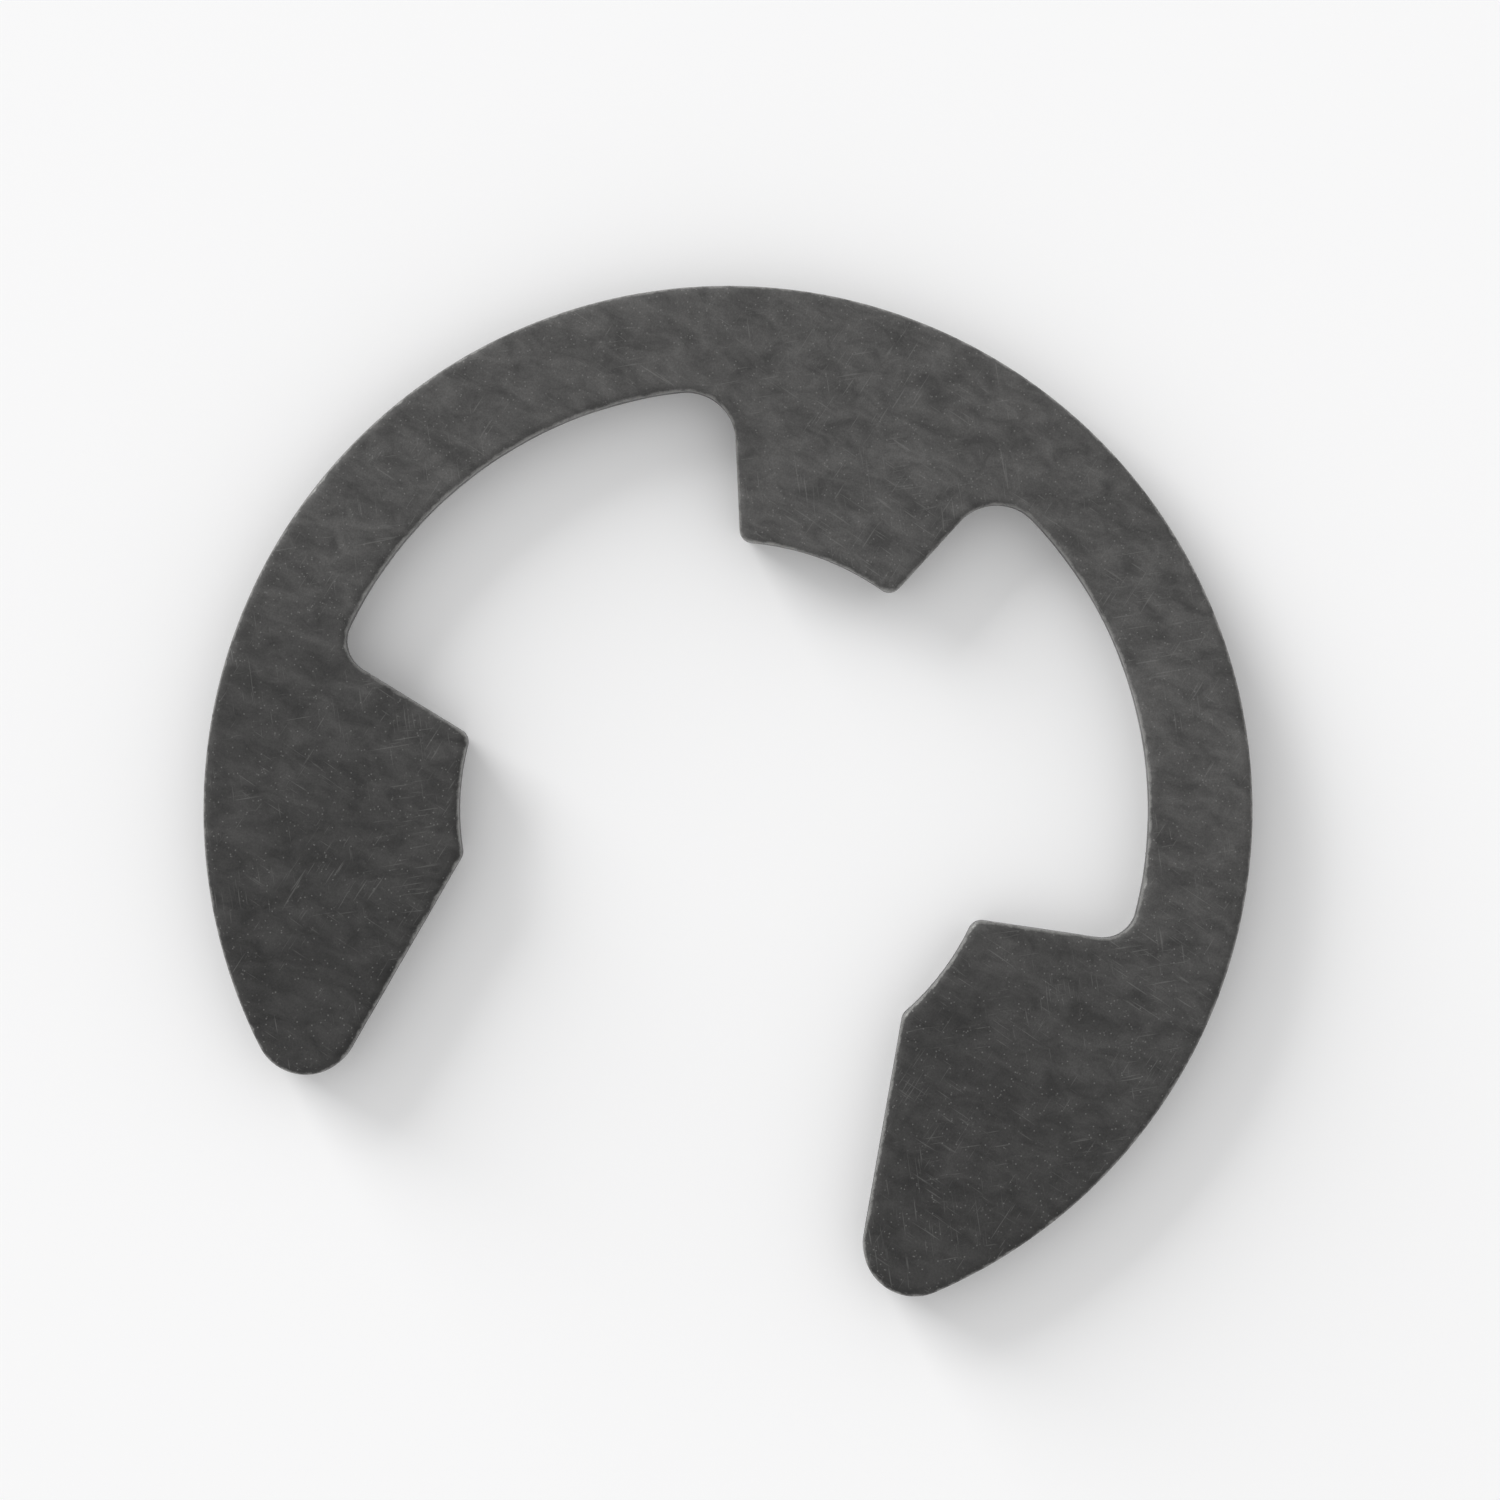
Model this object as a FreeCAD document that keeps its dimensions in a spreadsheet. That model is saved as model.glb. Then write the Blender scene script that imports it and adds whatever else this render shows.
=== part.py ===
# E clip: a one-piece retaining washer punched from flat spring steel. It is pushed sideways onto a
# grooved shaft, and three seats, one on the middle tab and one on each side prong, grip the groove.
# Millimetres. +Z is the shaft's axis, the mouth faces +X, and the underside lies on Z = 0.
import FreeCAD
import Part
import math
import os
import Sketcher

from FreeCAD import Vector

# Driving dimensions: name, value, what it measures. Angles are in degrees.
DIMENSIONS = [
    ("thickness", 1.3, "the spring steel strip"),
    ("seat_diameter", 12.0, "the circle on which the three seats lie, that of the shaft's groove"),
    ("bay_depth", 3.4, "from the seats' circle out to the inside of the bow"),
    ("bow_width", 2.3, "the thin band that joins tab and prongs, and springs"),
    ("snap_over", 0.775, "how far each seat's end at the mouth reaches in past the groove's width"),
    ("mouth_flare", 10.0, "each prong's mouth edge against the clip's centre line"),
    ("shoulder_offset", 0.4, "each prong's inner corner, ahead of the shaft's axis"),
    ("shoulder_lean", 11.5, "each prong's inner edge, back from square to the centre line"),
    ("tab_width", 3.6, "the middle tab across its seat"),
    ("tab_flank", 22.5, "each side of the tab against the centre line"),
    ("tip_radius", 1.15, "the rounded end of each prong"),
    ("shoulder_root_radius", 0.75, "the hollow corner where a prong meets the bow"),
    ("tab_root_radius", 1.1, "the hollow corner where the tab meets the bow"),
    ("seat_corner_radius", 0.3, "the corners at both ends of each seat"),
    ("die_roll_radius", 0.16, "the upper edges, drawn round as the blank is punched"),
    ("burr_side_chamfer", 0.08, "the lower edges, tumbled until no burr is left"),
]

# The three circles about the shaft's axis, as formulas of the sheet.
SEAT_RADIUS = "sizes.seat_diameter / 2"
BOW_RADIUS = f"{SEAT_RADIUS} + sizes.bay_depth"
OUTER_RADIUS = f"{BOW_RADIUS} + sizes.bow_width"

UPWARD = Vector(0, 0, 1)
CENTRE = Vector(0, 0, 0)


def write_sheet(doc):
    """The driving dimensions as a sheet whose cells the model's sizes are bound to."""
    sheet = doc.addObject("Spreadsheet::Sheet", "sizes")
    for row, (name, value, meaning) in enumerate(DIMENSIONS, start=1):
        sheet.set(f"A{row}", name)
        sheet.set(f"B{row}", str(value))
        sheet.setAlias(f"B{row}", name)
        sheet.set(f"C{row}", meaning)
    doc.recompute()
    return sheet


def origin_plane(body, role):
    return next(item for item in body.Origin.OriginFeatures if item.Role == role)


def on_circle(radius, y):
    """The point of a centred circle at height y, on its side towards the mouth."""
    return Vector(math.sqrt(radius**2 - y**2), y, 0)


def ray_to_circle(start, degrees, radius):
    """Where the ray from start leaves a centred circle."""
    heading = Vector(math.cos(math.radians(degrees)), math.sin(math.radians(degrees)), 0)
    along = start.dot(heading)
    return start + heading * (math.sqrt(along**2 - start.dot(start) + radius**2) - along)


def centred_arc(radius, first, last):
    """An arc about the shaft's axis, anticlockwise from first to last."""
    circle = Part.Circle(CENTRE, UPWARD, radius)
    return Part.ArcOfCircle(circle, math.atan2(first.y, first.x), math.atan2(last.y, last.x))


def draw_half_blank(body, sheet):
    """The punched outline on one side of the centre line, with sharp corners, fully constrained.

    Returns the sketch and the corners by name, each as (edge, end of that edge).
    """
    seat = sheet.seat_diameter / 2
    bow = seat + sheet.bay_depth
    outer = bow + sheet.bow_width

    # Where the corners lie, so that the constraints below find the sketch already solved.
    mouth_corner = on_circle(seat, seat - sheet.snap_over)
    tip = ray_to_circle(mouth_corner, sheet.mouth_flare, outer)
    shoulder = Vector(sheet.shoulder_offset, math.sqrt(seat**2 - sheet.shoulder_offset**2), 0)
    shoulder_root = ray_to_circle(shoulder, 90 + sheet.shoulder_lean, bow)
    tab_corner = on_circle(seat, sheet.tab_width / 2)
    tab_corner.x = -tab_corner.x
    tab_root = ray_to_circle(tab_corner, 180 - sheet.tab_flank, bow)
    tab_middle = Vector(-seat, 0, 0)
    back = Vector(-outer, 0, 0)

    sketch = body.newObject("Sketcher::SketchObject", "half_blank")
    sketch.AttachmentSupport = (origin_plane(body, "XY_Plane"), [""])
    sketch.MapMode = "FlatFace"
    outside = sketch.addGeometry(centred_arc(outer, tip, back))
    centre_line = sketch.addGeometry(Part.LineSegment(back, tab_middle))
    tab_seat = sketch.addGeometry(centred_arc(seat, tab_corner, tab_middle))
    flank = sketch.addGeometry(Part.LineSegment(tab_corner, tab_root))
    bow_inside = sketch.addGeometry(centred_arc(bow, shoulder_root, tab_root))
    prong_back = sketch.addGeometry(Part.LineSegment(shoulder, shoulder_root))
    prong_seat = sketch.addGeometry(centred_arc(seat, mouth_corner, shoulder))
    mouth_edge = sketch.addGeometry(Part.LineSegment(mouth_corner, tip))

    start, end, middle = 1, 2, 3
    origin = (-1, 1)
    x_axis = -1
    joins = [
        (outside, end, centre_line, start),
        (centre_line, end, tab_seat, end),
        (tab_seat, start, flank, start),
        (flank, end, bow_inside, end),
        (bow_inside, start, prong_back, end),
        (prong_back, start, prong_seat, end),
        (prong_seat, start, mouth_edge, start),
        (mouth_edge, end, outside, start),
    ]
    for join in joins:
        sketch.addConstraint(Sketcher.Constraint("Coincident", *join))
    for arc in (outside, tab_seat, bow_inside, prong_seat):
        sketch.addConstraint(Sketcher.Constraint("Coincident", arc, middle, *origin))
    for point in (start, end):
        sketch.addConstraint(Sketcher.Constraint("PointOnObject", centre_line, point, x_axis))

    def bind(name, constraint, expression):
        number = sketch.addConstraint(constraint)
        sketch.renameConstraint(number, name)
        sketch.setExpression(f"Constraints.{name}", expression)

    def height(edge, point, value):
        return Sketcher.Constraint("DistanceY", *origin, edge, point, value)

    def heading(line, degrees):
        return Sketcher.Constraint("Angle", line, math.radians(degrees))

    bind("tab_seat_radius", Sketcher.Constraint("Radius", tab_seat, seat), SEAT_RADIUS)
    bind("prong_seat_radius", Sketcher.Constraint("Radius", prong_seat, seat), SEAT_RADIUS)
    bind("bow_radius", Sketcher.Constraint("Radius", bow_inside, bow), BOW_RADIUS)
    bind("outer_radius", Sketcher.Constraint("Radius", outside, outer), OUTER_RADIUS)
    half_mouth = height(prong_seat, start, mouth_corner.y)
    bind("half_mouth", half_mouth, f"{SEAT_RADIUS} - sizes.snap_over")
    bind("half_tab", height(tab_seat, start, tab_corner.y), "sizes.tab_width / 2")
    offset = Sketcher.Constraint("DistanceX", *origin, prong_seat, end, sheet.shoulder_offset)
    bind("shoulder_offset", offset, "sizes.shoulder_offset")
    bind("mouth_flare", heading(mouth_edge, sheet.mouth_flare), "sizes.mouth_flare")
    bind("shoulder_lean", heading(prong_back, 90 + sheet.shoulder_lean), "90 + sizes.shoulder_lean")
    bind("tab_flank", heading(flank, 180 - sheet.tab_flank), "180 - sizes.tab_flank")

    corners = {
        "tip": [(mouth_edge, end)],
        "shoulder_root": [(prong_back, end)],
        "tab_root": [(flank, end)],
        "seat_ends": [(prong_seat, start), (prong_seat, end), (tab_seat, start)],
    }
    return sketch, corners


def upright_edges(shape, points):
    """The names of the upright edges that stand on these points or on their mirror images."""
    names = []
    for number, edge in enumerate(shape.Edges, start=1):
        ends = [vertex.Point for vertex in edge.Vertexes]
        if len(ends) == 2 and abs(ends[0].z - ends[1].z) > 0.9 * edge.Length:
            foot = Vector(ends[0].x, abs(ends[0].y), 0)
            if any(foot.distanceToPoint(point) < 1e-4 for point in points):
                names.append(f"Edge{number}")
    return names


def outline_edges(shape, height):
    """The names of the edges that run round the flat face at this height."""
    names = []
    for number, edge in enumerate(shape.Edges, start=1):
        if all(abs(vertex.Z - height) < 1e-6 for vertex in edge.Vertexes):
            names.append(f"Edge{number}")
    return names


def dress_edges(doc, body, kind, name, edges, size):
    """A fillet or chamfer of the body as it stands, with its size bound to the sheet."""
    base = body.Tip
    dressing = body.newObject(f"PartDesign::{kind}", name)
    dressing.Base = (base, edges)
    measure = "Radius" if kind == "Fillet" else "Size"
    dressing.setExpression(measure, f"sizes.{size}")
    body.Tip = dressing
    doc.recompute()


def build_e_clip(doc, sheet):
    body = doc.addObject("PartDesign::Body", "e_clip")
    sketch, corners = draw_half_blank(body, sheet)
    doc.recompute()

    # The blank: half of it padded to the strip's thickness, then mirrored in the centre line.
    half = body.newObject("PartDesign::Pad", "half_clip")
    half.Profile = sketch
    half.setExpression("Length", "sizes.thickness")
    doc.recompute()
    blank = body.newObject("PartDesign::Mirrored", "blank")
    blank.Originals = [half]
    blank.MirrorPlane = (origin_plane(body, "XZ_Plane"), [""])
    body.Tip = blank
    doc.recompute()

    # The punch's corner radii, seen in plan.
    for name, size in [
        ("tip", "tip_radius"),
        ("shoulder_root", "shoulder_root_radius"),
        ("tab_root", "tab_root_radius"),
        ("seat_ends", "seat_corner_radius"),
    ]:
        feet = [sketch.getPoint(*corner) for corner in corners[name]]
        edges = upright_edges(body.Tip.Shape, feet)
        dress_edges(doc, body, "Fillet", f"round_{name}", edges, size)

    # The section of a punched edge: die roll above, a tumbled burr side below.
    upper = outline_edges(body.Tip.Shape, sheet.thickness)
    dress_edges(doc, body, "Fillet", "die_roll", upper, "die_roll_radius")
    lower = outline_edges(body.Tip.Shape, 0)
    dress_edges(doc, body, "Chamfer", "burr_side", lower, "burr_side_chamfer")
    return body


def check_document(doc):
    for item in doc.Objects:
        if "Invalid" in item.State or "Error" in item.State:
            raise RuntimeError(f"{item.Label} failed: {item.State}")


def export(parts):
    os.makedirs("parts", exist_ok=True)
    for part in parts:
        shape = part.Shape
        if shape.isNull() or not shape.isValid():
            raise RuntimeError(f"{part.Label} has no valid shape")
        shape.exportStep(f"parts/{part.Label}.step")
        print(part.Label, "solids", len(shape.Solids), "volume", round(shape.Volume, 3))


doc = FreeCAD.newDocument("e_clip_model")
sheet = write_sheet(doc)
e_clip = build_e_clip(doc, sheet)
doc.recompute()
check_document(doc)
export([e_clip])
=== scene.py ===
import cmath
import math

import bpy
import numpy as np
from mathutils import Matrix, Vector, noise


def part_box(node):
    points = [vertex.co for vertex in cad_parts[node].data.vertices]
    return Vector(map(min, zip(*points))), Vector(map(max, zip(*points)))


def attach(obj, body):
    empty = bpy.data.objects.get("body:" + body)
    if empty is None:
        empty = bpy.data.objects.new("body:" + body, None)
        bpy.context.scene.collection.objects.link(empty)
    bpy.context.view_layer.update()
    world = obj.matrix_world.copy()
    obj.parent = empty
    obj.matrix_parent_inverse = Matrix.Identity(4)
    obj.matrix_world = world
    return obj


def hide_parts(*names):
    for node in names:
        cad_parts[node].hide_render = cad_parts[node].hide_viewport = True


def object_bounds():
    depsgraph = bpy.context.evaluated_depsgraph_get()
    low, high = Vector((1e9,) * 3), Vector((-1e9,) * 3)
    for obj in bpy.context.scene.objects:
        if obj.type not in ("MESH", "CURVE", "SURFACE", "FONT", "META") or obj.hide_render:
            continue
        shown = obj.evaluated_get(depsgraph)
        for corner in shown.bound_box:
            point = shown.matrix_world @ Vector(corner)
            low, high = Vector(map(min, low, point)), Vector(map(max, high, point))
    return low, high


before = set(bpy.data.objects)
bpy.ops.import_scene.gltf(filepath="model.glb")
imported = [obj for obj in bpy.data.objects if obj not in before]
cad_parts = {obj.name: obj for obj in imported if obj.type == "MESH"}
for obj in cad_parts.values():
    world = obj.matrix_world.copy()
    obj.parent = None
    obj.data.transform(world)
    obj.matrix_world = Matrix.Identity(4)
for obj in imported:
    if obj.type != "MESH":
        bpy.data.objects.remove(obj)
cad_lowest, cad_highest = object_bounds()

# The clip: one piece, punched to an E out of hardened spring steel strip. Three seats, on the middle
# tab and on the two prongs, lie on the circle of the shaft's groove, and the thin bow springs them.
# First its outline, as complex numbers x + iy about the shaft's axis, with the mouth towards +x.
mm = 0.001
strip_bottom, strip_top = (corner.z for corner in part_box("e_clip"))
outer_radius = -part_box("e_clip")[0].x
bow_width = 2.3 * mm
bow_radius = outer_radius - bow_width
seat_radius = 6.0 * mm
snap_over = 0.775 * mm
half_mouth = seat_radius - snap_over
half_tab = 1.8 * mm
shoulder_offset = 0.4 * mm
tip_radius = 1.15 * mm
prong_root_radius = 0.75 * mm
tab_root_radius = 1.1 * mm
seat_corner_radius = 0.3 * mm
mouth_edge = cmath.rect(1, math.radians(10))
prong_back = cmath.rect(1, math.radians(101.5))
tab_flank = cmath.rect(1, math.radians(157.5))
point_spacing = 0.095 * mm
fewest_steps = 8

# Where each straight edge starts, on the seats' circle.
mouth_corner = complex(math.sqrt(seat_radius**2 - half_mouth**2), half_mouth)
shoulder = complex(shoulder_offset, math.sqrt(seat_radius**2 - shoulder_offset**2))
tab_corner = complex(-math.sqrt(seat_radius**2 - half_tab**2), half_tab)


def corner_centre(corner, heading, side, radius, circle):
    """The centre of an arc that rounds the corner between a straight edge and a circle.

    The edge runs from corner along heading, with the centre on its left (side 1) or right (side -1).
    The centre's own distance from the shaft's axis is circle.
    """
    start = corner + side * radius * 1j * heading
    along = (start * heading.conjugate()).real
    return start + heading * (math.sqrt(along**2 - abs(start) ** 2 + circle**2) - along)


seat_corner_circle = seat_radius + seat_corner_radius
seat_start = corner_centre(mouth_corner, mouth_edge, 1, seat_corner_radius, seat_corner_circle)
seat_end = corner_centre(shoulder, prong_back, -1, seat_corner_radius, seat_corner_circle)
tab_end = corner_centre(tab_corner, tab_flank, 1, seat_corner_radius, seat_corner_circle)
prong_root_circle = bow_radius - prong_root_radius
prong_root = corner_centre(shoulder, prong_back, 1, prong_root_radius, prong_root_circle)
tab_root_circle = bow_radius - tab_root_radius
tab_root = corner_centre(tab_corner, tab_flank, -1, tab_root_radius, tab_root_circle)
tip = corner_centre(mouth_corner, mouth_edge, 1, tip_radius, outer_radius - tip_radius)


def bend(centre, radius, turn, heading, last_heading):
    """Points along an arc to the left (turn 1) or right (turn -1), and the headings at them."""
    sweep = turn * ((turn * cmath.phase(last_heading / heading)) % math.tau)
    steps = max(fewest_steps, round(abs(sweep) * radius / point_spacing))
    headings = heading / abs(heading) * np.exp(1j * sweep * np.arange(steps) / steps)
    return centre - turn * 1j * radius * headings, headings


# The bends from the mouth edge round to the tab's middle, walked with the steel on the right: centre,
# radius, turn, first and last heading. Where one starts beyond the last one's end, an edge is straight.
bends = [
    (seat_start, seat_corner_radius, -1, -mouth_edge, 1j * seat_start),
    (0, seat_radius, 1, 1j * seat_start, 1j * seat_end),
    (seat_end, seat_corner_radius, -1, 1j * seat_end, prong_back),
    (prong_root, prong_root_radius, 1, prong_back, 1j * prong_root),
    (0, bow_radius, 1, 1j * prong_root, 1j * tab_root),
    (tab_root, tab_root_radius, 1, 1j * tab_root, -tab_flank),
    (tab_end, seat_corner_radius, -1, -tab_flank, 1j * tab_end),
    (0, seat_radius, 1, 1j * tab_end, -1j),
]
reached = tip - 1j * mouth_edge * tip_radius
inner_walk = []
inner_headings = []
for centre, radius, turn, heading, last_heading in bends:
    points, headings = bend(centre, radius, turn, heading, last_heading)
    gap = points[0] - reached
    if abs(gap) > point_spacing:
        steps = round(abs(gap) / point_spacing)
        inner_walk.append(reached + gap * np.arange(steps) / steps)
        inner_headings.append(np.full(steps, gap / abs(gap)))
    inner_walk.append(points)
    inner_headings.append(headings)
    reached = centre - turn * 1j * radius * last_heading / abs(last_heading)
inner_walk = np.concatenate(inner_walk)
inner_headings = np.concatenate(inner_headings)

# Each inner point has a partner on the outer circle, at nearly the same angle about the shaft. The
# partners of a prong's back and of the tab's flank, which run almost outward, are spread out.
tip_angle = cmath.phase(tip)
spread = math.radians(3.5)
partners = [
    (np.angle(inner_walk[0]), tip_angle),
    (cmath.phase(seat_end), cmath.phase(seat_end) - spread),
    (cmath.phase(prong_root), cmath.phase(prong_root)),
    (cmath.phase(tab_root), cmath.phase(tab_root)),
    (cmath.phase(tab_end), cmath.phase(tab_end) + spread),
    (math.pi, math.pi),
]
outer_angles = np.interp(np.angle(inner_walk), *zip(*partners))
outer_directions = np.exp(1j * outer_angles)

# A prong's tip is one arc. It is halved at its apex, from which both sides of the outline start.
mouth_side = cmath.phase(-1j * mouth_edge)
apex = cmath.rect(1, (mouth_side + tip_angle) / 2)
half_sweep = (tip_angle - mouth_side) / 2
tip_steps = round(half_sweep * tip_radius / point_spacing)
fan = np.exp(1j * half_sweep * np.arange(tip_steps) / tip_steps)

# Both sides from the upper tip to the middle, then mirrored to the lower tip, each with the
# direction into the steel.
inner = np.concatenate([tip + tip_radius * apex * fan.conj(), inner_walk, [-seat_radius]])
inner_into = np.concatenate([-apex * fan.conj(), -1j * inner_headings, [-1]])
outer = np.concatenate([tip + tip_radius * apex * fan, outer_radius * outer_directions, [-outer_radius]])
outer_into = np.concatenate([-apex * fan, -outer_directions, [1]])
inner, inner_into, outer, outer_into = (
    np.concatenate([half, half[-2::-1].conj()]) for half in (inner, inner_into, outer, outer_into)
)
pairs = len(inner)
into_steel = np.concatenate([inner_into, outer_into[-2:0:-1]])
inside_the_solid = 0.001 * mm
outline = np.concatenate([inner, outer[-2:0:-1]]) + into_steel * inside_the_solid
round_points = len(outline)

# The punched edge, from the upper face down: the die roll, where the punch drew the steel down; the
# land, which it sheared smooth; the break, where the steel tore away; and a tumbled lower edge.
die_roll_width = 0.2 * mm
die_roll_depth = 0.16 * mm
corner_effect = 0.12 * mm
least_draw_down = 0.8
most_draw_down = 1.25
draw_down_unevenness = 0.08
draw_down_wave = 0.8 * mm
depth_with_width = 0.3
ding_depth = 0.07 * mm
ding_length = 0.24 * mm
ding_rarity = 0.4
land_lean = 0.002 * mm
land_wave = 0.3 * mm
break_height = 0.6 * mm
break_waviness = 0.06 * mm
break_wave = 0.9 * mm
break_raggedness = 0.03 * mm
rag_length = 0.16 * mm
break_step = 0.02 * mm
break_step_height = 0.025 * mm
break_slope = 0.04 * mm
break_roughness = 0.02 * mm
tear_size = 0.11 * mm
tear_stretch = 2
tear_falloff = 0.8
tear_scale_step = 2.1
tear_octaves = 3
lower_round = 0.085 * mm
die_roll_rings = 9
land_rings = 6
break_rings = 15
lower_rings = 5


def along_outline(wavelength, layer):
    """Smooth unevenness from about -1 to 1 along the outline; each layer has its own."""
    layer_gap = 7.3
    places = [Vector((point.real, point.imag, 0)) / wavelength for point in outline]
    return np.array([noise.noise(place + Vector((0, 0, layer * layer_gap))) for place in places])


def torn(height):
    """The tearing of the break at this height above each outline point, from about -1 to 1."""
    places = [Vector((p.real, p.imag, z / tear_stretch)) / tear_size for p, z in zip(outline, height)]
    tears = [noise.fractal(place, tear_falloff, tear_scale_step, tear_octaves) for place in places]
    return np.array(tears)


# An outward corner is drawn down further than a straight edge, and a hollow one less.
turning = np.angle(np.roll(into_steel, -1) / np.roll(into_steel, 1))
curvature = -turning / abs(np.roll(outline, -1) - np.roll(outline, 1))
reach = 6
smoothing = np.hanning(2 * reach + 1) / np.hanning(2 * reach + 1).sum()
curvature = np.convolve(np.pad(curvature, reach, "wrap"), smoothing, "valid")
draw_down = np.clip(1 + corner_effect * curvature, least_draw_down, most_draw_down)
draw_down = draw_down + draw_down_unevenness * along_outline(draw_down_wave, 1)
roll_width = die_roll_width * draw_down
roll_depth = die_roll_depth * (1 + depth_with_width * (draw_down - 1))
dings = ding_depth * np.maximum(0, along_outline(ding_length, 5) - ding_rarity)
break_top = strip_bottom + break_height + break_waviness * along_outline(break_wave, 2)
break_top = break_top + break_raggedness * along_outline(rag_length, 3)
break_bottom = strip_bottom + lower_round

# Rings of points round the edge: how far in from the outline, at what height, and how much of the
# rim, of the land and of the break there is at them. Each fades in or out over part of its zone.
rim_sharpness = 1.5
rim_fade = 3
land_fade = 4
tear_fade = 5
lower_rim_fade = 4
rings = []
for fall in np.linspace(0, math.pi / 2, die_roll_rings):
    ding = dings * math.sin(2 * fall)
    inset = roll_width * (1 - math.sin(fall)) + ding
    height = strip_top - roll_depth * (1 - math.cos(fall)) - ding
    rings.append((inset, height, (math.sin(fall) ** rim_sharpness, 0, 0)))
for share in np.linspace(0, 1, land_rings + 1)[1:]:
    inset = land_lean * share * (1 + along_outline(land_wave, 4))
    height = (strip_top - roll_depth) * (1 - share) + break_top * share
    rings.append((inset, height, (max(0, 1 - rim_fade * share), min(1, land_fade * share), 0)))
for share in np.linspace(0, 1, break_rings):
    height = (break_top - break_step_height) * (1 - share) + break_bottom * share
    fading = min(1, tear_fade * (1 - share))
    inset = break_step + break_slope * share + break_roughness * fading * torn(height)
    rings.append((np.maximum(0, inset), height, (max(0, 1 - lower_rim_fade * (1 - share)), 0, 1)))
for fall in np.linspace(0, math.pi / 2, lower_rings + 1)[1:]:
    inset = np.full(round_points, break_step + break_slope + lower_round * (1 - math.cos(fall)))
    height = np.full(round_points, break_bottom - lower_round * math.sin(fall))
    rings.append((inset, height, (math.cos(fall), 0, math.cos(fall))))

verts = []
masks = []
for inset, height, mask in rings:
    points = outline + into_steel * inset
    verts.append(np.stack([points.real, points.imag, height], 1))
    masks.append(np.tile(mask, (round_points, 1)))

# The edge's faces, each between one ring and the next. The punched wall is what lies below the die
# roll and above the lower edge.
wall_start = die_roll_rings - 1
wall_end = wall_start + land_rings + break_rings
faces = []
on_wall = []
for ring in range(len(rings) - 1):
    for i in range(round_points):
        upper = ring * round_points
        lower = upper + round_points
        beside = (i + 1) % round_points
        faces.append((upper + i, upper + beside, lower + beside, lower + i))
        on_wall.append(wall_start <= ring < wall_end)

# The two flat faces: ladders whose rungs join each inner point to its partner. At a prong's apex a
# rung is a single point.
rung_steps = 14


def flat_face(ring, upward):
    first = ring * round_points
    edge = verts[ring]
    shares = np.arange(1, rung_steps)[:, None] / rung_steps
    rungs = [[first] * (rung_steps + 1)]
    next_point = sum(len(part) for part in verts)
    for i in range(1, pairs - 1):
        partner = round_points - i
        verts.append(edge[i] * (1 - shares) + edge[partner] * shares)
        rungs.append([first + i, *range(next_point, next_point + rung_steps - 1), first + partner])
        next_point += rung_steps - 1
    rungs.append([first + pairs - 1] * (rung_steps + 1))
    masks.append(np.zeros(((pairs - 2) * (rung_steps - 1), 3)))
    for rung, next_rung in zip(rungs, rungs[1:]):
        for a, b, c, d in zip(rung, rung[1:], next_rung[1:], next_rung):
            corners = tuple(dict.fromkeys((a, b, c, d)))
            faces.append(corners if upward else corners[::-1])
            on_wall.append(False)


flat_face(0, True)
flat_face(len(rings) - 1, False)

mesh = bpy.data.meshes.new("retaining_clip")
mesh.from_pydata(np.concatenate(verts).tolist(), [], faces)
mesh.shade_smooth()
for name, values in zip(("rim", "land", "break"), np.concatenate(masks).T):
    attribute = mesh.attributes.new(name, "FLOAT", "POINT")
    attribute.data.foreach_set("value", values.astype(np.float32))


# The clip's finish: a phosphate coat, dark grey and matt. Its fine crystals came out lighter and darker
# in patches, and a few of them get a painted glint. Painted light makes the bow paler than the tips.
def add(tree, kind, inputs=None, **settings):
    """A node with its settings, and each named input set to a value or linked to a socket."""
    made = tree.nodes.new(kind)
    for name, value in settings.items():
        setattr(made, name, value)
    for name, value in (inputs or {}).items():
        if isinstance(value, bpy.types.NodeSocket):
            tree.links.new(value, made.inputs[name])
        else:
            made.inputs[name].default_value = value
    return made


def calculate(tree, operation, *values, clamp=False):
    made = add(tree, "ShaderNodeMath", dict(enumerate(values)), operation=operation, use_clamp=clamp)
    return made.outputs["Value"]


def between(tree, value, low, high):
    """How far value has come from low to high, from 0 to 1."""
    made = add(tree, "ShaderNodeMapRange", {"Value": value, "From Min": low, "From Max": high})
    return made.outputs["Result"]


def blend_colours(tree, share, first, second):
    made = add(tree, "ShaderNodeMix", {0: share, 6: first, 7: second}, data_type="RGBA")
    return made.outputs[2]


def new_group(name, inputs, outputs):
    """An empty shader node group: inputs as (name, starting value), with None for a vector."""
    tree = bpy.data.node_groups.new(name, "ShaderNodeTree")
    for label, value in inputs:
        kind = "NodeSocketVector" if value is None else "NodeSocketFloat"
        socket = tree.interface.new_socket(name=label, in_out="INPUT", socket_type=kind)
        if value is not None:
            socket.default_value = value
    for label in outputs:
        tree.interface.new_socket(name=label, in_out="OUTPUT", socket_type="NodeSocketFloat")
    given = tree.nodes.new("NodeGroupInput").outputs
    put_out = tree.nodes.new("NodeGroupOutput").inputs
    return tree, given, put_out
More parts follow.
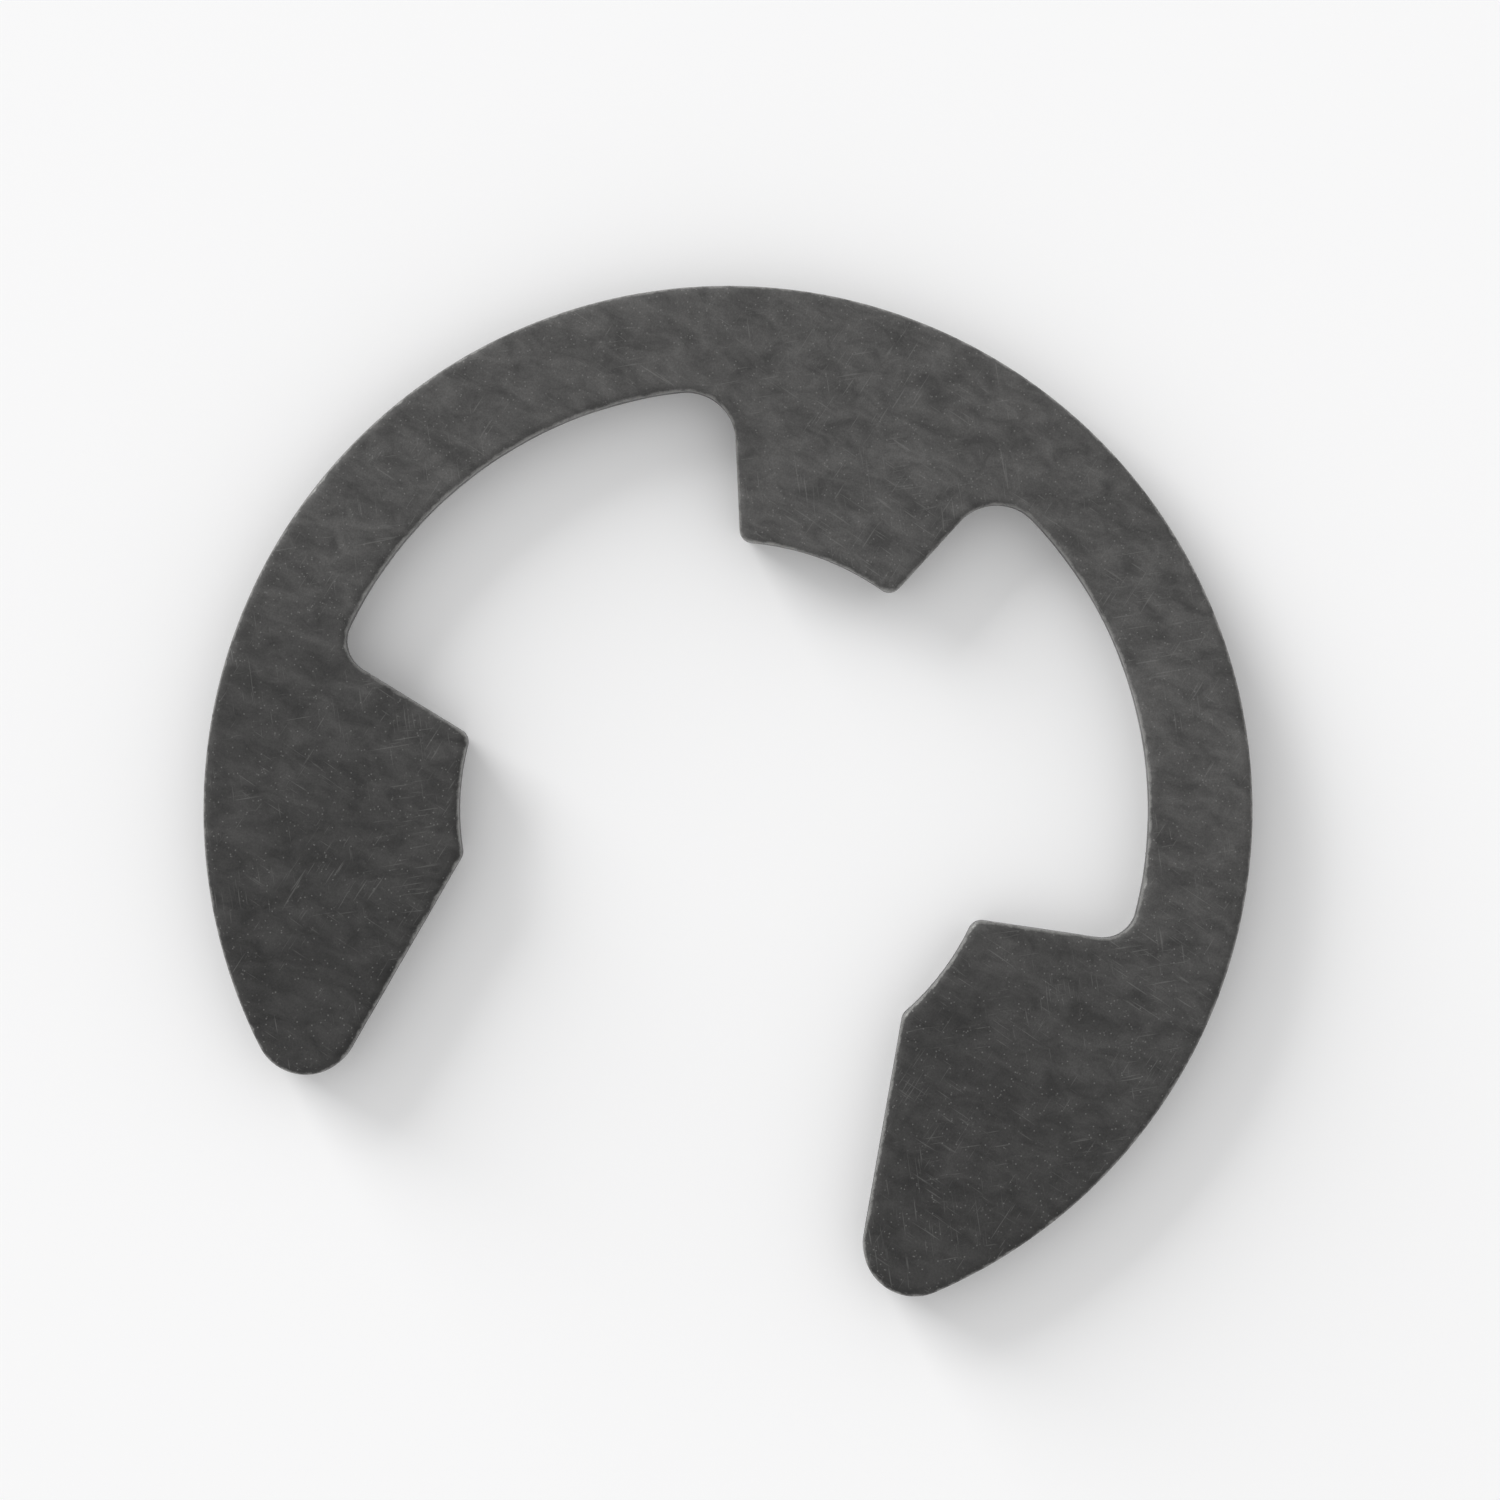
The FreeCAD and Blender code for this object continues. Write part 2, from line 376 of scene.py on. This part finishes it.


# Positions in the finish are in millimetres. Most of a noise texture's values lie in the usual range.
# Painted light: the tone rises from the tips back to a paler bow, and its edge drifts with the clouds.
usual_range = (0.3, 0.7)
patch_range = (0.33, 0.67)
cloud_drift = 14.0
no_painted_light_ahead_of = 15.0
full_painted_light_behind = 1.0
along_strip_stretch = (1.2, 0.7, 1.0)
brightest_crystals = (0.95, 0.98)
crystal_tops = (0.5, 0.8)
coat_and_light_group, given, put_out = new_group(
    "phosphate_coat_and_painted_light",
    [("Position", None), ("Patches per mm", 1.9), ("Crystals per mm", 24.0)],
    ["Thinness", "Patches", "Grain", "Painted Glints", "Relief"],
)
clouds = add(
    coat_and_light_group,
    "ShaderNodeTexNoise",
    {"Vector": given["Position"], "Scale": 0.16, "Detail": 2.0, "Roughness": 0.5},
).outputs["Fac"]
forward = add(coat_and_light_group, "ShaderNodeSeparateXYZ", {"Vector": given["Position"]}).outputs["X"]
forward = calculate(coat_and_light_group, "MULTIPLY_ADD", clouds, cloud_drift, forward)
painted_bow_light = add(
    coat_and_light_group,
    "ShaderNodeMapRange",
    {"Value": forward, "From Min": no_painted_light_ahead_of, "From Max": full_painted_light_behind},
    interpolation_type="SMOOTHSTEP",
).outputs["Result"]
coat_and_light_group.links.new(painted_bow_light, put_out["Thinness"])
along_strip = add(
    coat_and_light_group,
    "ShaderNodeVectorMath",
    {0: given["Position"], 1: along_strip_stretch},
    operation="MULTIPLY",
)
patches = add(
    coat_and_light_group,
    "ShaderNodeTexNoise",
    {
        "Vector": along_strip.outputs["Vector"],
        "Scale": given["Patches per mm"],
        "Detail": 6.0,
        "Roughness": 0.62,
        "Distortion": 0.5,
    },
)
grain = add(
    coat_and_light_group,
    "ShaderNodeTexNoise",
    {
        "Vector": given["Position"],
        "Scale": given["Crystals per mm"],
        "Detail": 3.0,
        "Roughness": 0.75,
    },
)
crystals = add(
    coat_and_light_group,
    "ShaderNodeTexVoronoi",
    {"Vector": given["Position"], "Scale": given["Crystals per mm"]},
    distance="CHEBYCHEV",
)
crystal_tone = add(coat_and_light_group, "ShaderNodeSeparateColor", {"Color": crystals.outputs["Color"]})
domes = calculate(coat_and_light_group, "SUBTRACT", 1.0, crystals.outputs["Distance"], clamp=True)
# Painted highlight: the brightest crystals, near their middles, are picked out as glints.
bright_ones = between(coat_and_light_group, crystal_tone.outputs["Red"], *brightest_crystals)
painted_glints = calculate(coat_and_light_group, "MULTIPLY", bright_ones, between(coat_and_light_group, domes, *crystal_tops))
grain = between(coat_and_light_group, grain.outputs["Fac"], *usual_range)
patches = between(coat_and_light_group, patches.outputs["Fac"], *patch_range)
coat_and_light_group.links.new(patches, put_out["Patches"])
coat_and_light_group.links.new(grain, put_out["Grain"])
coat_and_light_group.links.new(painted_glints, put_out["Painted Glints"])
coat_and_light_group.links.new(calculate(coat_and_light_group, "ADD", grain, domes), put_out["Relief"])

# Along the rims, tumbling against other clips has rubbed the coat thin, in a broken line.
wear_sharpness = 5.0
wear_group, given, put_out = new_group(
    "rim_wear", [("Position", None), ("Rim", 0.0), ("Reach", 0.5)], ["Worn"]
)
rubbing = add(
    wear_group,
    "ShaderNodeTexNoise",
    {"Vector": given["Position"], "Scale": 3.2, "Detail": 7.0, "Roughness": 0.75},
)
rubbed = calculate(wear_group, "MULTIPLY", given["Rim"], rubbing.outputs["Fac"])
shortfall = calculate(wear_group, "SUBTRACT", 1.0, given["Reach"])
beyond = calculate(wear_group, "SUBTRACT", rubbed, shortfall)
worn = calculate(wear_group, "MULTIPLY", beyond, wear_sharpness, clamp=True)
wear_group.links.new(worn, put_out["Worn"])

# The coat's two greys, the steel under it, and how each takes the light. Only rubbed steel and the painted
# glints, which take the steel's paler grey, are metallic.
dark_patch = (0.033, 0.0325, 0.0319, 1)
light_patch = (0.0648, 0.0636, 0.0622, 1)
rubbed_steel_and_glints = (0.27, 0.268, 0.26, 1)
tip_tone = 0.71
painted_light_gain = 0.73
low_grain_tone = 0.8
grain_gain = 0.4
coat_roughness = 0.76
patch_smoothness = 0.08
rubbed_smoothness = 0.45
rubbed_metallic = 0.85
coat_specular = 0.3
rim_reach = 0.70
rim_bareness = 0.9
painted_glint_share = 0.4
micron = 0.001 * mm


def coated_steel(name):
    """A material with the coat, rim wear and painted glints, to which each surface adds marks of its own.
    """
    material = bpy.data.materials.new(name)
    material.use_nodes = True
    tree = material.node_tree
    place = add(tree, "ShaderNodeTexCoord").outputs["Object"]
    position = add(tree, "ShaderNodeVectorMath", {"Vector": place, "Scale": 1 / mm}, operation="SCALE")
    position = position.outputs["Vector"]
    rim = add(tree, "ShaderNodeAttribute", attribute_name="rim").outputs["Fac"]
    coat = add(tree, "ShaderNodeGroup", {"Position": position}, node_tree=coat_and_light_group)
    rim_inputs = {"Position": position, "Rim": rim, "Reach": rim_reach}
    wear = add(tree, "ShaderNodeGroup", rim_inputs, node_tree=wear_group)
    bare_and_glints = calculate(tree, "MULTIPLY", wear.outputs["Worn"], rim_bareness)
    # Painted highlight: glinting crystals are mixed towards the steel's paler grey, and made smoother and
    # partly metallic.
    painted_glinting = calculate(tree, "MULTIPLY", coat.outputs["Painted Glints"], painted_glint_share)
    bare_and_glints = calculate(tree, "MAXIMUM", bare_and_glints, painted_glinting)
    return material, tree, position, coat.outputs, bare_and_glints


def finish_steel(tree, coat, bare_and_glints, tone, shine, height):
    """Joins a surface's tone (1 is plain), shine (0 is plain) and height (in microns) to its shader."""
    shader = tree.nodes["Principled BSDF"]
    greys = blend_colours(tree, coat["Patches"], dark_patch, light_patch)
    grain_tone = calculate(tree, "MULTIPLY_ADD", coat["Grain"], grain_gain, low_grain_tone)
    # Painted light: the coat's tone rises from the darker tips to the paler bow.
    painted_light_tone = calculate(tree, "MULTIPLY_ADD", coat["Thinness"], painted_light_gain, tip_tone)
    tone = calculate(tree, "MULTIPLY", tone, calculate(tree, "MULTIPLY", painted_light_tone, grain_tone))
    greys = add(tree, "ShaderNodeVectorMath", {"Vector": greys, "Scale": tone}, operation="SCALE")
    colour = blend_colours(tree, bare_and_glints, greys.outputs["Vector"], rubbed_steel_and_glints)
    roughness = calculate(tree, "MULTIPLY_ADD", coat["Patches"], -patch_smoothness, coat_roughness)
    smoothed = calculate(tree, "MULTIPLY", bare_and_glints, rubbed_smoothness)
    roughness = calculate(tree, "SUBTRACT", roughness, smoothed)
    roughness = calculate(tree, "SUBTRACT", roughness, shine)
    metallic = calculate(tree, "MULTIPLY", bare_and_glints, rubbed_metallic)
    shader.inputs["Specular IOR Level"].default_value = coat_specular
    bump = add(tree, "ShaderNodeBump", {"Height": height, "Distance": micron})
    tree.links.new(colour, shader.inputs["Base Color"])
    tree.links.new(roughness, shader.inputs["Roughness"])
    tree.links.new(metallic, shader.inputs["Metallic"])
    tree.links.new(bump.outputs["Normal"], shader.inputs["Normal"])


# The strip's own faces, with short light scuffs from tumbling, in clusters and several directions,
# and faint lines from the rolling mill under the coat. Heights are in microns.
scuff_directions = (13, 61, 104, 152)
scuff_stretch = (1.3, 26, 8)
scuff_clustering = 0.35
scuff_range = (0.89, 0.97)
scuff_bareness = 0.2
rolling_stretch = (15, 0.5, 1)
rolling_tone = 0.2
rolling_height = 1.5
face_relief = 1.6
face_steel, tree, position, coat, bare_and_glints = coated_steel("phosphated_strip_face")
for degrees in scuff_directions:
    rotation = {"Vector": position, "Angle": math.radians(degrees)}
    turned = add(tree, "ShaderNodeVectorRotate", rotation, rotation_type="Z_AXIS").outputs["Vector"]
    drawn_out = add(tree, "ShaderNodeVectorMath", {0: turned, 1: scuff_stretch}, operation="MULTIPLY")
    streaks = {"Vector": drawn_out.outputs["Vector"], "Scale": 1.0, "Detail": 1.5, "Roughness": 0.4}
    streaks = add(tree, "ShaderNodeTexNoise", streaks).outputs["Fac"]
    clusters = {"Vector": turned, "Scale": 0.45, "Detail": 1.0}
    clusters = add(tree, "ShaderNodeTexNoise", clusters).outputs["Fac"]
    streaks = calculate(tree, "MULTIPLY_ADD", clusters, scuff_clustering, streaks)
    scuffs = calculate(tree, "MULTIPLY", between(tree, streaks, *scuff_range), scuff_bareness)
    bare_and_glints = calculate(tree, "MAXIMUM", bare_and_glints, scuffs)
along_strip = add(tree, "ShaderNodeVectorMath", {0: position, 1: rolling_stretch}, operation="MULTIPLY")
rolling_lines = add(
    tree,
    "ShaderNodeTexNoise",
    {"Vector": along_strip.outputs["Vector"], "Scale": 1.0, "Detail": 3.0},
).outputs["Fac"]
tone = calculate(tree, "MULTIPLY_ADD", rolling_lines, rolling_tone, 1 - rolling_tone / 2)
relief = calculate(tree, "MULTIPLY", coat["Relief"], face_relief)
height = calculate(tree, "MULTIPLY_ADD", rolling_lines, rolling_height, relief)
finish_steel(tree, coat, bare_and_glints, tone, 0.0, height)

# The punched wall, with upright lines drawn on its land, which is smoother and lighter, and torn grain
# in its break, which is darker and rougher. Heights are in microns.
drawn_stretch = (24, 24, 1)
drawn_line_tone = 0.35
drawn_line_height = 3.0
land_smoothness = 0.26
break_darkness = 0.35
break_dullness = 0.06
torn_grain_tone = 0.4
torn_grain_height = 16.0
wall_relief = 1.2
wall_steel, tree, position, coat, bare_and_glints = coated_steel("phosphated_punched_wall")
land = add(tree, "ShaderNodeAttribute", attribute_name="land").outputs["Fac"]
broken = add(tree, "ShaderNodeAttribute", attribute_name="break").outputs["Fac"]
upright = add(tree, "ShaderNodeVectorMath", {0: position, 1: drawn_stretch}, operation="MULTIPLY")
drawn_lines = add(
    tree,
    "ShaderNodeTexNoise",
    {"Vector": upright.outputs["Vector"], "Scale": 1.0, "Detail": 3.0},
).outputs["Fac"]
torn_grain = add(
    tree,
    "ShaderNodeTexNoise",
    {"Vector": position, "Scale": 13.0, "Detail": 6.0, "Roughness": 0.75},
).outputs["Fac"]
lines = calculate(tree, "MULTIPLY", between(tree, drawn_lines, *usual_range), land)
grains = calculate(tree, "MULTIPLY", between(tree, torn_grain, *usual_range), broken)
tone = calculate(tree, "MULTIPLY_ADD", lines, drawn_line_tone, 1.0)
tone = calculate(tree, "SUBTRACT", tone, calculate(tree, "MULTIPLY", broken, break_darkness))
tone = calculate(tree, "MULTIPLY_ADD", grains, torn_grain_tone, tone)
shine = calculate(tree, "MULTIPLY", land, land_smoothness)
shine = calculate(tree, "SUBTRACT", shine, calculate(tree, "MULTIPLY", broken, break_dullness))
relief = calculate(tree, "MULTIPLY", coat["Relief"], wall_relief)
height = calculate(tree, "MULTIPLY_ADD", lines, drawn_line_height, relief)
height = calculate(tree, "MULTIPLY_ADD", grains, torn_grain_height, height)
finish_steel(tree, coat, bare_and_glints, tone, shine, height)

mesh.materials.append(face_steel)
mesh.materials.append(wall_steel)
mesh.polygons.foreach_set("material_index", np.array(on_wall, dtype=np.int32))
clip = bpy.data.objects.new("retaining_clip", mesh)
bpy.context.scene.collection.objects.link(clip)
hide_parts("e_clip")
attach(clip, "root")

# The floor: a plain, matt white sheet that the clip lies on. It is a hair below the clip's underside,
# so that the two surfaces don't fight.
floor_side = 3.0
floor_drop = 0.01 * mm
sheet_white = (0.96, 0.96, 0.963, 1)
sheet_roughness = 0.9
sheet_specular = 0.2
bpy.ops.mesh.primitive_plane_add(size=floor_side, location=(0, 0, strip_bottom - floor_drop))
floor = bpy.context.object
floor.name = "floor"
white_sheet = bpy.data.materials.new("white_sheet")
white_sheet.use_nodes = True
shader = white_sheet.node_tree.nodes["Principled BSDF"]
shader.inputs["Base Color"].default_value = sheet_white
shader.inputs["Roughness"].default_value = sheet_roughness
shader.inputs["Specular IOR Level"].default_value = sheet_specular
floor.data.materials.append(white_sheet)

# The light: one large soft lamp from the photograph's upper left, in a white room that gives most of
# the light, with a ceiling a little darker than its walls. The lamp's direction follows the camera's turn.
camera_turn = math.radians(110)
upper_left = math.radians(135)
lamp_direction = camera_turn + upper_left
lamp_height = math.radians(18)
lamp_distance = 3.0
lamp_side = 1.6
lamp_power = 76.0
lamp_data = bpy.data.lights.new("studio_lamp", "AREA")
lamp_data.size = lamp_side
lamp_data.energy = lamp_power
lamp = bpy.data.objects.new("studio_lamp", lamp_data)
towards_lamp = Vector(
    (
        math.cos(lamp_height) * math.cos(lamp_direction),
        math.cos(lamp_height) * math.sin(lamp_direction),
        math.sin(lamp_height),
    )
)
lamp.location = lamp_distance * towards_lamp
lamp.rotation_euler = towards_lamp.to_track_quat("Z", "Y").to_euler()
bpy.context.scene.collection.objects.link(lamp)

room_light = 0.85
room_seen = 0.94
ceiling = 0.8
world = bpy.data.worlds.new("white_room")
world.use_nodes = True
tree = world.node_tree
direction = add(tree, "ShaderNodeTexCoord").outputs["Generated"]
upward = add(tree, "ShaderNodeSeparateXYZ", {"Vector": direction}).outputs["Z"]
shade = calculate(tree, "MULTIPLY_ADD", calculate(tree, "MAXIMUM", upward, 0.0), ceiling - 1, 1.0)
path = add(tree, "ShaderNodeLightPath").outputs
seen = calculate(tree, "MAXIMUM", path["Is Camera Ray"], path["Is Glossy Ray"])
seen = calculate(tree, "MAXIMUM", seen, path["Is Transmission Ray"])
strength = calculate(tree, "MULTIPLY_ADD", seen, room_seen - room_light, room_light)
strength = calculate(tree, "MULTIPLY", strength, shade)
background = tree.nodes["Background"]
background.inputs["Color"].default_value = (1, 1, 1, 1)
tree.links.new(strength, background.inputs["Strength"])
bpy.context.scene.world = world
bpy.context.scene.view_settings.view_transform = "Standard"

# The camera looks straight down on the middle of the clip, turned so that the mouth opens as it does
# in the photograph.
camera_height = 112 * mm
camera_lens = 120
nearest_seen = 1 * mm
farthest_seen = 10
camera_data = bpy.data.cameras.new("camera")
camera_data.lens = camera_lens
camera_data.clip_start = nearest_seen
camera_data.clip_end = farthest_seen
camera = bpy.data.objects.new("camera", camera_data)
middle = (cad_lowest + cad_highest) / 2
camera.location = (middle.x, middle.y, middle.z + camera_height)
camera.rotation_euler = (0, 0, camera_turn)
bpy.context.scene.collection.objects.link(camera)
bpy.context.scene.camera = camera
